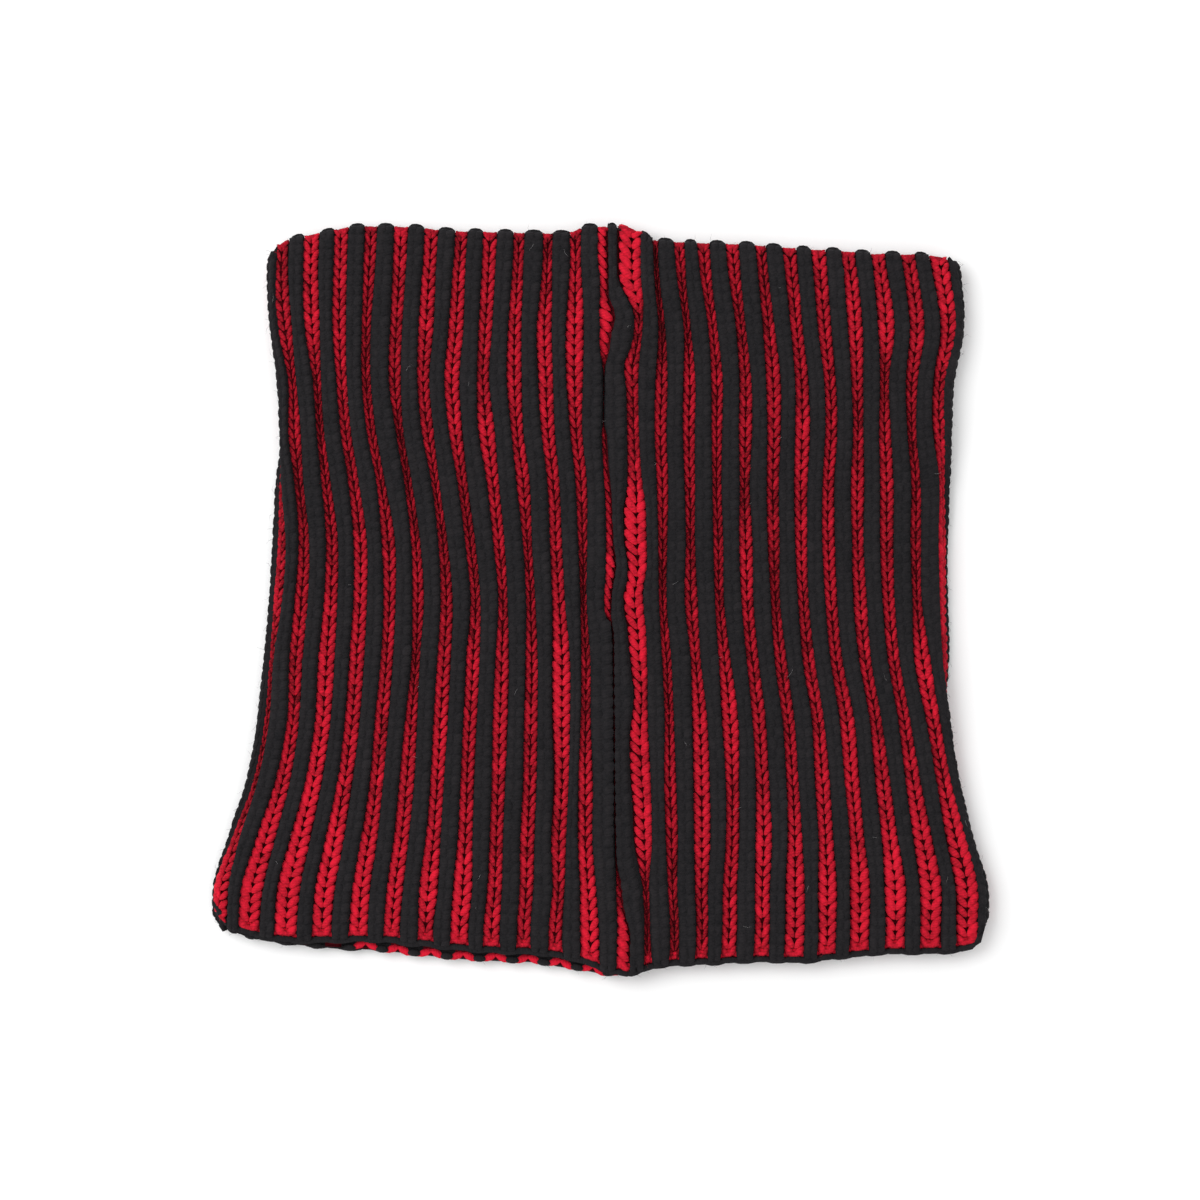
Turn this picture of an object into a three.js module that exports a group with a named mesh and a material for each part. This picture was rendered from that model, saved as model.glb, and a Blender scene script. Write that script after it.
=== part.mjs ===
// A knitted neck warmer laid flat: one striped panel turned into a tube, joined down the front and bound off
// along the bottom. Millimetres, +Z up. The origin is on the table under the middle of the garment, +X runs to
// the right across the front, and +Y runs from the bound-off bottom edge to the top edge.
import * as THREE from "three";

// Knit sizes
const WALL = 4.4; // from the crest of a rib to the inner face
const RIB_RISE = 1.5; // from a red valley up to the crest of a black rib
const CREST_HALF = 0.2; // half the flat crest of a rib, in rib repeats
const REPEATS_ACROSS_BACK = 24;
const WALES_LEFT = 12; // red columns from the seam to the left side fold
const WALES_RIGHT = 11;

// How the two layers lie on each other
const LAYER_GAP = 1.2;
const PIECE_GAP = 0.3;
const MIDDLE_Z = WALL + LAYER_GAP / 2;
const FOLD_ROUND = 5.2; // how far in from a side fold the cloth has turned level
const FOLD_LIP = 0.8; // depth of each layer's edge where the two layers meet at a side fold
const FOLD_HOLLOW = 9; // how far in from a side fold the two layers have parted
const LEAST_STEP = 0.7; // least distance between two neighbouring columns
const EDGE_SHARE = 0.55; // what is left of the wall at the rounded top edge
const TOP_BUMP = 1.2; // how far a rib bulges past the valleys at the top edge

// Seam
const SEAM_YARN_RADIUS = 0.6;
const SEAM_HALF_GAP = SEAM_YARN_RADIUS + PIECE_GAP;
const SEAM_YARN_SIDES = 8;
const SEAM_YARN_STEPS = 24;
const SEAM_LIFT = 1.0; // how much the turned-in side edges lift the front
const SEAM_LIFT_REACH = 13;

// Bound-off bar
const BAR_DEPTH = 3.2; // across the bar, along Y
const BAR_HEIGHT = 3.2;
const BAR_SIDES = 6;
const BAR_WAIST = 0.82; // size of the bar under a red column, as a share of its size under a rib

// Heights at which a column's place along the bottom edge and along the top edge is read
const FOOT_Y = -135;
const HEAD_Y = 140;

// Rows of the grid, as shares of the height
const FRONT_ROWS = [0, 0.05, 0.12, 0.2, 0.29, 0.38, 0.47, 0.56, 0.65, 0.74, 0.83, 0.92, 0.985, 1];
const BACK_ROWS = [0, 0.08, 0.2, 0.35, 0.5, 0.65, 0.8, 0.92, 0.985, 1];

// A table's rows by the names of its columns.
function table(columns, rows) {
  return rows.map((row) => Object.fromEntries(columns.map((column, i) => [column, row[i]])));
}

// Across the front, from the bottom up: the two side folds, the seam and some of the red columns, each by its
// number counted from the seam.
const SECTIONS = table(
  ["y", "left", "l11", "l8", "l5", "l2", "l0", "seam", "r0", "r3", "r7", "r10", "right"],
  [
    [-146, -150, -135, -93, -54, -17, 9.5, 12.8, 18, 49, 99, 141, 150],
    [-125, -150, -135, -93, -54, -17, 8.8, 12, 18, 50, 100, 141, 150],
    [-112, -150, -134, -92, -53, -16, 6.8, 10.2, 17, 50, 100, 141, 150],
    [-93, -144.3, -129, -89, -52, -16, 4.5, 8.2, 16, 51, 99, 137, 144.5],
    [-69, -136.4, -122, -86, -51, -15, 4, 7.2, 15, 51, 97, 132, 139],
    [-46, -132.5, -118, -84, -50, -15, 4, 7, 15, 50, 95, 128, 136.2],
    [-23, -130, -117, -82, -49, -15, 4, 7, 14.5, 48, 91, 124, 136],
    [0, -128, -115, -81, -48, -16, 3.2, 7, 13.3, 46, 89, 122, 135.3],
    [23, -126.5, -114, -81.5, -50, -17, 3.6, 7, 13.5, 45.5, 88, 121.5, 135.2],
    [46, -125.8, -116, -84.5, -53, -18, 3.4, 7, 13.5, 45, 88, 121.5, 135.3],
    [65, -124.7, -117.5, -88, -55.5, -20, 1.6, 6.6, 12.5, 45, 89, 120, 135.9],
    [85, -126.2, -118.5, -90, -57, -21, 1.4, 7, 13, 45, 88.5, 120, 136.9],
    [104, -128.1, -121, -90, -55.5, -21.5, 2, 7, 14, 43.5, 86.5, 122, 140.5],
    [123, -128.9, -122.5, -89, -54.5, -20.5, 1.5, 5.6, 12.5, 41, 85, 120, 139.9],
    [146, -128.5, -122, -88, -53, -20, 1.2, 5.4, 12, 39, 83, 116, 138.4],
  ],
);

// The bottom edge of the front and of the back, and the top edge, from left to right.
const BOTTOM_EDGE = table(
  ["x", "front", "back"],
  [
    [-150, -119, -120],
    [-148.8, -121.6, -122.8],
    [-147, -123.8, -125],
    [-143.8, -126.5, -127.8],
    [-140, -128.6, -129.6],
    [-133.4, -130.5, -131.3],
    [-128, -131.7, -132.5],
    [-116, -133, -134.5],
    [-100, -132.5, -135.6],
    [-84, -132.5, -136.4],
    [-61, -135, -139],
    [-46, -136.5, -140],
    [-25, -137.3, -141],
    [-9, -139.8, -143.4],
    [2, -144.2, -145.6],
    [10, -145.9, -145.2],
    [22, -142.5, -141.6],
    [34, -141.5, -140.7],
    [56, -140.4, -139.6],
    [78, -140.5, -139.7],
    [96, -138.6, -137.8],
    [110, -137.2, -136.4],
    [122, -137.2, -136.4],
    [132, -137, -136.2],
    [137, -136.4, -135.6],
    [141.7, -135.9, -135.1],
    [145.5, -134, -133.2],
    [147.6, -131.2, -130.4],
    [149, -128.4, -127.8],
    [150, -125.5, -125],
  ],
);
const TOP_EDGE = table(
  ["x", "y"],
  [
    [-128.5, 132.6],
    [-127, 134.8],
    [-124.8, 136.8],
    [-121.5, 138.6],
    [-115.8, 140.4],
    [-106, 142.2],
    [-98, 144],
    [-90, 144.6],
    [-72, 144.2],
    [-58, 142.7],
    [-40, 142.2],
    [-26, 141.9],
    [-13, 141.7],
    [-9, 143.1],
    [-6, 144.2],
    [7, 144.5],
    [11, 144],
    [14, 142.8],
    [17, 141.4],
    [20, 139.4],
    [25, 138.7],
    [38, 138.1],
    [56, 137.5],
    [80, 135.6],
    [92, 135],
    [104, 133.9],
    [120, 133.6],
    [128, 132.8],
    [131.5, 132.2],
    [134, 131.3],
    [137, 129.9],
    [139.5, 126.4],
  ],
);
const BACK_TOP_DROP = 1.5; // the back's top edge stays this far behind the front's

// A column of a table read at a place between two of its rows.
function read(rows, key, place, column) {
  const found = rows.findIndex((row) => row[key] >= place);
  const next = found < 0 ? rows.length - 1 : Math.max(found, 1);
  const b = rows[next];
  const a = rows[next - 1];
  const share = THREE.MathUtils.clamp((place - a[key]) / (b[key] - a[key]), 0, 1);
  return THREE.MathUtils.lerp(a[column], b[column], share);
}

// Where column number k of one side of the front lies at height y; ribs are at half numbers.
const GUIDES = {
  left: [[0, "l0"], [2, "l2"], [5, "l5"], [8, "l8"], [11, "l11"]],
  right: [[0, "r0"], [3, "r3"], [7, "r7"], [10, "r10"]],
};
function columnX(side, k, y) {
  const guides = GUIDES[side];
  const found = guides.findIndex(([number]) => number >= k);
  const next = found < 0 ? guides.length - 1 : Math.max(found, 1);
  const [na, a] = guides[next - 1];
  const [nb, b] = guides[next];
  const xa = read(SECTIONS, "y", y, a);
  const xb = read(SECTIONS, "y", y, b);
  return xa + ((xb - xa) * (k - na)) / (nb - na);
}

// The red column k of a grid, in its valley, and the two edges of the rib that follows it. A valley's crest is 0
// and a rib's is 1, and the inner face of the layer keeps only the valley's corners.
function columnAndRib(k) {
  return [
    { k, crest: 0, inner: true },
    { k: k + 0.5 - CREST_HALF, crest: 1 },
    { k: k + 0.5 + CREST_HALF, crest: 1 },
  ];
}

// Columns of half the front, from the seam out to the side fold.
function frontColumns(wales) {
  return [
    { k: "seam", crest: 1, inner: true },
    ...[...Array(wales).keys()].flatMap(columnAndRib),
    { k: wales, crest: 0, inner: true },
    { k: "fold", crest: 1, inner: true },
  ];
}

// Columns of the back, from the left side fold to the right one.
function backColumns() {
  const whole = [...Array(REPEATS_ACROSS_BACK).keys()].flatMap(columnAndRib);
  whole[0].crest = 1;
  return [...whole, { k: REPEATS_ACROSS_BACK, crest: 1, inner: true }];
}

// Along an end of a grid, the corners of the ribs lie on the straight line between the valleys beside them.
function straightenEnd(points) {
  const kept = points.filter((point) => point.inner).sort((a, b) => a.x - b.x);
  points.forEach((point) => {
    if (!point.inner) point.y = read(kept, "x", point.x, "y");
  });
}

function seamLift(x, y) {
  const off = (x - read(SECTIONS, "y", y, "seam")) / SEAM_LIFT_REACH;
  return SEAM_LIFT * Math.exp(-off * off);
}

// The two faces of a layer at one place, measured from the middle plane between the layers. Away from the side
// folds they are level; at a fold they close on the middle plane, the outer one in a quarter round.
function layerFaces(x, y, crest, lift, wallShare) {
  const toFold = Math.min(x - read(SECTIONS, "y", y, "left"), read(SECTIONS, "y", y, "right") - x);
  const turn = THREE.MathUtils.clamp(1 - toFold / FOLD_ROUND, 0, 1);
  const round = Math.sqrt(1 - turn * turn);
  const parted = THREE.MathUtils.smoothstep(toFold, 0, FOLD_HOLLOW);
  const levelInner = LAYER_GAP / 2 + lift;
  const levelOuter = levelInner + (WALL - (1 - crest) * RIB_RISE) * wallShare;
  return {
    inner: THREE.MathUtils.lerp(PIECE_GAP / 2, levelInner, parted),
    outer: THREE.MathUtils.lerp(PIECE_GAP / 2 + FOLD_LIP, levelOuter, round),
  };
}

// Corner points of one half of the front: a row of columns at each height.
function frontGrid(side, wales) {
  const sign = side === "left" ? -1 : 1;
  const columns = frontColumns(wales);
  const placeX = (k, y) => {
    if (k === "seam") return read(SECTIONS, "y", y, "seam") + sign * SEAM_HALF_GAP;
    if (k === "fold") return read(SECTIONS, "y", y, side);
    return columnX(side, k, y);
  };
  return FRONT_ROWS.map((row) => {
    const points = columns.map(({ k, crest, inner }) => {
      const foot = read(BOTTOM_EDGE, "x", placeX(k, FOOT_Y), "front") + BAR_DEPTH + PIECE_GAP;
      const head = read(TOP_EDGE, "x", placeX(k, HEAD_Y), "y");
      const y = THREE.MathUtils.lerp(foot, head, row);
      return { x: placeX(k, y), y, crest, inner };
    });
    // Columns crowd together at a side fold; each keeps a least distance to the one nearer the fold.
    for (let i = points.length - 2; i > 0; i -= 1) {
      const limit = points[i + 1].x - sign * LEAST_STEP;
      points[i].x = sign > 0 ? Math.min(points[i].x, limit) : Math.max(points[i].x, limit);
    }
    if (row === 0) straightenEnd(points);
    return points.map((point) => {
      const { x, crest } = point;
      const y = row === 1 ? point.y + crest * TOP_BUMP : point.y;
      const faces = layerFaces(x, y, crest, seamLift(x, y), row === 1 ? EDGE_SHARE : 1);
      return { ...point, y, innerZ: MIDDLE_Z + faces.inner, outerZ: MIDDLE_Z + faces.outer };
    });
  });
}

// Corner points of the back, whose columns are spaced evenly from fold to fold at each height.
function backGrid() {
  const columns = backColumns();
  const placeX = (k, y) => {
    const share = k / REPEATS_ACROSS_BACK;
    return THREE.MathUtils.lerp(read(SECTIONS, "y", y, "left"), read(SECTIONS, "y", y, "right"), share);
  };
  return BACK_ROWS.map((row) => {
    const points = columns.map(({ k, crest, inner }) => {
      const foot = read(BOTTOM_EDGE, "x", placeX(k, FOOT_Y), "back") + BAR_DEPTH + PIECE_GAP;
      const head = read(TOP_EDGE, "x", placeX(k, HEAD_Y), "y") - BACK_TOP_DROP;
      const y = THREE.MathUtils.lerp(foot, head, row);
      return { x: placeX(k, y), y, crest, inner };
    });
    if (row === 0) straightenEnd(points);
    return points.map((point) => {
      const faces = layerFaces(point.x, point.y, point.crest, 0, 1);
      return { ...point, innerZ: MIDDLE_Z - faces.inner, outerZ: MIDDLE_Z - faces.outer };
    });
  });
}

// A closed solid between a grid's outer face and its inner face.
function layerGeometry(grid) {
  const rows = grid.length;
  const wide = grid[0].length;
  const kept = [...Array(wide).keys()].filter((i) => grid[0][i].inner);
  const positions = [];
  grid.forEach((row) => row.forEach((p) => positions.push(p.x, p.y, p.outerZ)));
  grid.forEach((row) => kept.forEach((i) => positions.push(row[i].x, row[i].y, row[i].innerZ)));
  const outer = (r, i) => r * wide + i;
  const inner = (r, j) => rows * wide + r * kept.length + j;
  const faces = [];
  const quad = (a, b, c, d) => faces.push(a, b, c, a, c, d);
  for (let r = 0; r + 1 < rows; r += 1) {
    for (let i = 0; i + 1 < wide; i += 1) {
      quad(outer(r, i), outer(r, i + 1), outer(r + 1, i + 1), outer(r + 1, i));
    }
    for (let j = 0; j + 1 < kept.length; j += 1) {
      quad(inner(r, j), inner(r + 1, j), inner(r + 1, j + 1), inner(r, j + 1));
    }
    quad(outer(r, 0), outer(r + 1, 0), inner(r + 1, 0), inner(r, 0));
    const last = kept.length - 1;
    quad(outer(r, wide - 1), inner(r, last), inner(r + 1, last), outer(r + 1, wide - 1));
  }
  for (let j = 0; j + 1 < kept.length; j += 1) {
    for (let i = kept[j]; i < kept[j + 1]; i += 1) {
      faces.push(inner(0, j), outer(0, i + 1), outer(0, i));
      faces.push(inner(rows - 1, j), outer(rows - 1, i), outer(rows - 1, i + 1));
    }
    faces.push(inner(0, j), inner(0, j + 1), outer(0, kept[j + 1]));
    faces.push(inner(rows - 1, j), outer(rows - 1, kept[j + 1]), inner(rows - 1, j + 1));
  }
  return solidFrom(positions, faces);
}

// A bound-off bar along the foot of a grid: a ring of corners at each column, fuller under a rib.
function barGeometry(grid) {
  const positions = [];
  const faces = [];
  grid[0].forEach((p) => {
    const size = p.crest ? 1 : BAR_WAIST;
    const centreY = p.y - PIECE_GAP - BAR_DEPTH / 2;
    const centreZ = (p.innerZ + p.outerZ) / 2;
    const tall = Math.min(BAR_HEIGHT, Math.abs(p.outerZ - p.innerZ) * 0.96);
    for (let s = 0; s < BAR_SIDES; s += 1) {
      const angle = ((s + 0.5) * 2 * Math.PI) / BAR_SIDES;
      positions.push(p.x);
      positions.push(centreY + (Math.cos(angle) * size * BAR_DEPTH) / 2);
      positions.push(centreZ + (Math.sin(angle) * size * tall) / 2);
    }
  });
  const rings = grid[0].length;
  const at = (ring, s) => ring * BAR_SIDES + (s % BAR_SIDES);
  for (let ring = 0; ring + 1 < rings; ring += 1) {
    for (let s = 0; s < BAR_SIDES; s += 1) {
      faces.push(at(ring, s), at(ring + 1, s), at(ring + 1, s + 1));
      faces.push(at(ring, s), at(ring + 1, s + 1), at(ring, s + 1));
    }
  }
  for (let s = 1; s + 1 < BAR_SIDES; s += 1) {
    faces.push(at(0, 0), at(0, s), at(0, s + 1));
    faces.push(at(rings - 1, 0), at(rings - 1, s + 1), at(rings - 1, s));
  }
  return solidFrom(positions, faces);
}

// Indexed geometry with its faces turned to point out of the solid.
function solidFrom(positions, faces) {
  const corner = (i) => new THREE.Vector3().fromArray(positions, 3 * i);
  let volume = 0;
  for (let i = 0; i < faces.length; i += 3) {
    volume += corner(faces[i]).dot(corner(faces[i + 1]).cross(corner(faces[i + 2])));
  }
  if (volume < 0) faces.reverse();
  const geometry = new THREE.BufferGeometry();
  geometry.setAttribute("position", new THREE.Float32BufferAttribute(positions, 3));
  geometry.setIndex(faces);
  geometry.computeVertexNormals();
  return geometry;
}

// The joining yarn runs up the groove between the two halves of the front.
function seamYarnGeometry(leftGrid, rightGrid) {
  const z = MIDDLE_Z + LAYER_GAP / 2 + SEAM_LIFT + WALL - RIB_RISE;
  const beside = leftGrid.map((row, i) => [row[0], rightGrid[i][0]]);
  const points = beside.map(([a, b]) => new THREE.Vector3((a.x + b.x) / 2, (a.y + b.y) / 2, z));
  const section = new THREE.Shape();
  for (let s = 0; s < SEAM_YARN_SIDES; s += 1) {
    const angle = (s * 2 * Math.PI) / SEAM_YARN_SIDES;
    const x = SEAM_YARN_RADIUS * Math.cos(angle);
    const y = SEAM_YARN_RADIUS * Math.sin(angle);
    if (s === 0) section.moveTo(x, y);
    else section.lineTo(x, y);
  }
  const extrudePath = new THREE.CatmullRomCurve3(points, false, "catmullrom", 0);
  return new THREE.ExtrudeGeometry(section, { steps: SEAM_YARN_STEPS, extrudePath });
}

const knitPanel = new THREE.MeshStandardMaterial({ color: 0x4a1d22, roughness: 0.95, metalness: 0 });
const blackYarn = new THREE.MeshStandardMaterial({ color: 0x222224, roughness: 0.95, metalness: 0 });

function named(name, geometry, material) {
  const mesh = new THREE.Mesh(geometry, material.clone());
  mesh.name = name;
  return mesh;
}

const leftGrid = frontGrid("left", WALES_LEFT);
const rightGrid = frontGrid("right", WALES_RIGHT);
const restGrid = backGrid();

const neckWarmer = new THREE.Group();
neckWarmer.add(named("front_left", layerGeometry(leftGrid), knitPanel));
neckWarmer.add(named("front_right", layerGeometry(rightGrid), knitPanel));
neckWarmer.add(named("back", layerGeometry(restGrid), knitPanel));
neckWarmer.add(named("seam_yarn", seamYarnGeometry(leftGrid, rightGrid), blackYarn));
neckWarmer.add(named("bind_off_front_left", barGeometry(leftGrid), blackYarn));
neckWarmer.add(named("bind_off_front_right", barGeometry(rightGrid), blackYarn));
neckWarmer.add(named("bind_off_back", barGeometry(restGrid), blackYarn));

export default neckWarmer;
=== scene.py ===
"""A two-colour ribbed neck warmer laid flat: loops on a knitted ground, and a bound-off bottom edge.

Metres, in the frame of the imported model: +X to the right across the front, +Y from the bound-off edge to the
top edge, +Z up from the table.
"""

import math

import bpy
import numpy as np
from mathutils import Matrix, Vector


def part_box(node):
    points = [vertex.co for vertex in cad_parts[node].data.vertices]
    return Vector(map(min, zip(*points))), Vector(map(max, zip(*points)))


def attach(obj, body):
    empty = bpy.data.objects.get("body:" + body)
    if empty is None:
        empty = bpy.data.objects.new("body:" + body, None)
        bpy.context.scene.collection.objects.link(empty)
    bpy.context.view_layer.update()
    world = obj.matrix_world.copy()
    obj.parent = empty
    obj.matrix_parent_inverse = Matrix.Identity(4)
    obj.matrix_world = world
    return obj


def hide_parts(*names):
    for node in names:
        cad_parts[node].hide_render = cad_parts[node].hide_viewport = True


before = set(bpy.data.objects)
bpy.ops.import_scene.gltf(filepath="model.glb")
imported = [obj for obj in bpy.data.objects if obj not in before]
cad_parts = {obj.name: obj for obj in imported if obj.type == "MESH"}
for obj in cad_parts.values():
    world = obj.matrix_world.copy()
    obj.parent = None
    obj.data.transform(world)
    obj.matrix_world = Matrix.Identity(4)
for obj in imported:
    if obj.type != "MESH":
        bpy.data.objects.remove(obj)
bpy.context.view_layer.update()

MM = 0.001

# ----- Sizes of the knit -----

REPEATS_ROUND = 48  # one black rib and one red column each, all the way round
COURSES = 70
BACK_SPLIT = REPEATS_ROUND / 2  # wales are numbered from the seam both ways to this number on the back
LAST_FRONT_LEFT = -13  # the wales past these turn round the side folds on to the back
LAST_FRONT_RIGHT = 12

MIDDLE_Z = (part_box("back")[1].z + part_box("front_left")[0].z) / 2  # between the back and the front
BASE = 3.4 * MM  # from the middle plane to the skin that the loops are measured from
CREST = MIDDLE_Z - BASE  # from that skin to the top of a rib, so that the lowest ribs touch the table
NEUTRAL_ROUND = 4.2 * MM  # radius at which the cloth keeps its length round a side fold
HOLLOW_HALF = 0.6 * MM  # from the middle plane to a layer's inner face
INNER_FOOT = 1.6 * MM  # from the bottom outline up to that face, and what the face lacks in length
INNER_SHORT = 4.6 * MM

TOP_ROLL = 2.4 * MM  # radius at which the skin rolls over at the top edge, and how far round in radians
TOP_ROLL_ANGLE = 1.5
FOOT_ROLL = 2.6 * MM  # the same at the bottom edge
FOOT_ROLL_ANGLE = 0.6

BAR_DEPTH = 3.4 * MM  # of the bound-off bar, under the first course
ROLLED_UNDER = -13.2  # the wale where the bar is rolled under the most, and how many wales that fades over
ROLLED_REACH = 0.8
ROLLED_SHARE = 0.85  # of the bar's depth that goes under there
ROLLED_UP = 1.2 * MM  # how much higher the bar lies there
ROLLED_IN = 1.5  # how much less it stands out there, in shares of BAR_OUT

SEAM_LIFT = 1.0 * MM  # how far the turned-in side edges lift the front, and over what distance that fades
SEAM_LIFT_REACH = 13 * MM

# The front from the bottom up, in millimetres: the two side folds, the seam, and some of the red columns by
# their number from the seam.
SECTION_COLUMNS = ("y", "left", "l11", "l8", "l5", "l2", "l0", "seam", "r0", "r3", "r7", "r10", "right")
SECTIONS = (
    (-146, -150, -135, -93, -54, -17, 9.5, 12.8, 18, 49, 99, 141, 150),
    (-125, -150, -135, -93, -54, -17, 8.8, 12, 18, 50, 100, 141, 150),
    (-112, -150, -134, -92, -53, -16, 6.8, 10.2, 17, 50, 100, 141, 150),
    (-93, -144.3, -129, -89, -52, -16, 4.5, 8.2, 16, 51, 99, 137, 144.5),
    (-69, -136.4, -122, -86, -51, -15, 4, 7.2, 15, 51, 97, 132, 139),
    (-46, -132.5, -118, -84, -50, -15, 4, 7, 15, 50, 95, 128, 136.2),
    (-23, -130, -117, -82, -49, -15, 4, 7, 14.5, 48, 91, 124, 136),
    (0, -128, -115, -81, -48, -16, 3.2, 7, 13.3, 46, 89, 122, 135.3),
    (23, -126.5, -114, -81.5, -50, -17, 3.6, 7, 13.5, 45.5, 88, 121.5, 135.2),
    (46, -125.8, -116, -84.5, -53, -18, 3.4, 7, 13.5, 45, 88, 121.5, 135.3),
    (65, -124.7, -117.5, -88, -55.5, -20, 1.6, 6.6, 12.5, 45, 89, 120, 135.9),
    (85, -126.2, -118.5, -90, -57, -21, 1.4, 7, 13, 45, 88.5, 120, 136.9),
    (104, -128.1, -121, -90, -55.5, -21.5, 2, 7, 14, 43.5, 86.5, 122, 140.5),
    (123, -128.9, -122.5, -89, -54.5, -20.5, 1.5, 5.6, 12.5, 41, 85, 120, 139.9),
    (146, -128.5, -122, -88, -53, -20, 1.2, 5.4, 12, 39, 83, 116, 138.4),
)
# The wales' numbers: red columns are whole, ribs are half, and the seam takes the place of the rib at -0.5.
GUIDES = ((-12, "l11"), (-9, "l8"), (-6, "l5"), (-3, "l2"), (-1, "l0"), (-0.5, "seam"))
GUIDES += ((0, "r0"), (3, "r3"), (7, "r7"), (10, "r10"))

# Outlines in millimetres, from left to right: the bottom edge of the front and of the back, and the top edge.
BOTTOM_COLUMNS = ("x", "front", "back")
BOTTOM_EDGE = (
    (-150, -119, -120), (-148.8, -121.6, -122.8), (-147, -123.8, -125), (-143.8, -126.5, -127.8),
    (-140, -128.6, -129.6), (-133.4, -130.5, -131.3), (-128, -131.7, -132.5), (-116, -133, -134.5),
    (-100, -132.5, -135.6), (-84, -132.5, -136.4), (-61, -135, -139), (-46, -136.5, -140),
    (-25, -137.3, -141), (-9, -139.8, -143.4), (2, -144.2, -145.6), (10, -145.9, -145.2),
    (22, -142.5, -141.6), (34, -141.5, -140.7), (56, -140.4, -139.6), (78, -140.5, -139.7),
    (96, -138.6, -137.8), (110, -137.2, -136.4), (122, -137.2, -136.4), (132, -137, -136.2),
    (137, -136.4, -135.6), (141.7, -135.9, -135.1), (145.5, -134, -133.2), (147.6, -131.2, -130.4),
    (149, -128.4, -127.8), (150, -125.5, -125),
)
TOP_COLUMNS = ("x", "y")
TOP_EDGE = (
    (-128.5, 133.8), (-127, 136), (-124.8, 138), (-121.5, 139.8), (-115.8, 141.6), (-106, 143.4),
    (-98, 145.2), (-90, 145.8), (-72, 145.4), (-58, 143.9), (-40, 143.4), (-26, 143.1), (-13, 142.9),
    (-9, 144.3), (-6, 145.4), (7, 145.7), (11, 145.2), (14, 144), (17, 142.6), (20, 140.6), (25, 139.9),
    (38, 139.3), (56, 138.7), (80, 136.8), (92, 136.2), (104, 135.1), (120, 134.8), (128, 134),
    (131.5, 133.4), (134, 132.5), (137, 131.1), (139.5, 127.6),
)
BACK_TOP_DROP = 1.5 * MM
FOOT_Y = -135 * MM  # where a wale's place along the bottom edge is read
HEAD_Y = 140 * MM
STEEPEST = 0.9  # of the courses near both edges, which follow the edge
NORTH = np.array((0.0, 1.0, 0.0))

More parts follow.
